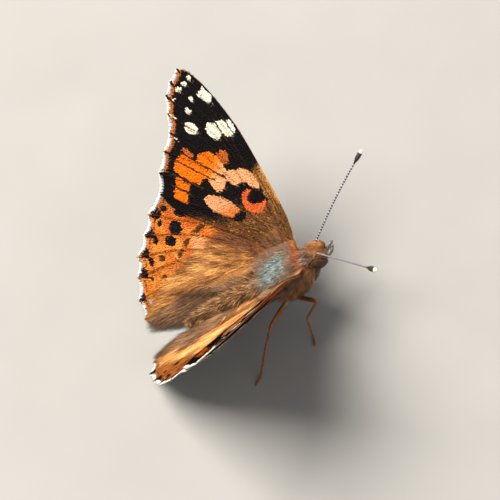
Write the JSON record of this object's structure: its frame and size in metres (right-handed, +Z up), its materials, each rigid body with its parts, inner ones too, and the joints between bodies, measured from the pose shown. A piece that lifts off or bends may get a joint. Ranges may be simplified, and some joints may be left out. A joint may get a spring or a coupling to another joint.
{
  "type": "painted lady butterfly",
  "caption": "Still life-size painted lady butterfly standing on the ground with its wings half raised, orange, black and white above.",
  "frame": {"origin": "on the floor, under the centre of the whole animal's box", "axes": "+Z up, the head towards -Y, the animal's left wing towards +X"},
  "size_m": [0.0456, 0.0368, 0.0311],
  "materials": {
    "forewing": "overlapping matt wing scales, orange, black and white",
    "hindwing": "overlapping matt wing scales with golden brown hair towards the body",
    "fur": "fine brown hair with a blue-green sheen on the back of the thorax",
    "eye": "dark brown glossy compound eye",
    "palp": "pale grey hair scales",
    "antenna": "dark, finely ringed with white, with a pale tip",
    "leg": "tan, finely scaled"
  },
  "bodies": {
    "root": {"head": "fur", "thorax": "fur", "abdomen": "fur", "eye_left": "eye", "palp_left": "palp", "antenna_left": "antenna", "forewing_left": "forewing", "hindwing_left": "hindwing", "foreleg_left": "fur", "midleg_left_femur": "leg", "midleg_left_tibia": "leg", "midleg_left_tarsus": "leg", "hindleg_left_femur": "leg", "hindleg_left_tibia": "leg", "hindleg_left_tarsus": "leg", "eye_right": "eye", "palp_right": "palp", "antenna_right": "antenna", "forewing_right": "forewing", "hindwing_right": "hindwing", "foreleg_right": "fur", "midleg_right_femur": "leg", "midleg_right_tibia": "leg", "midleg_right_tarsus": "leg", "hindleg_right_femur": "leg", "hindleg_right_tibia": "leg", "hindleg_right_tarsus": "leg"}
  },
  "joints": []
}
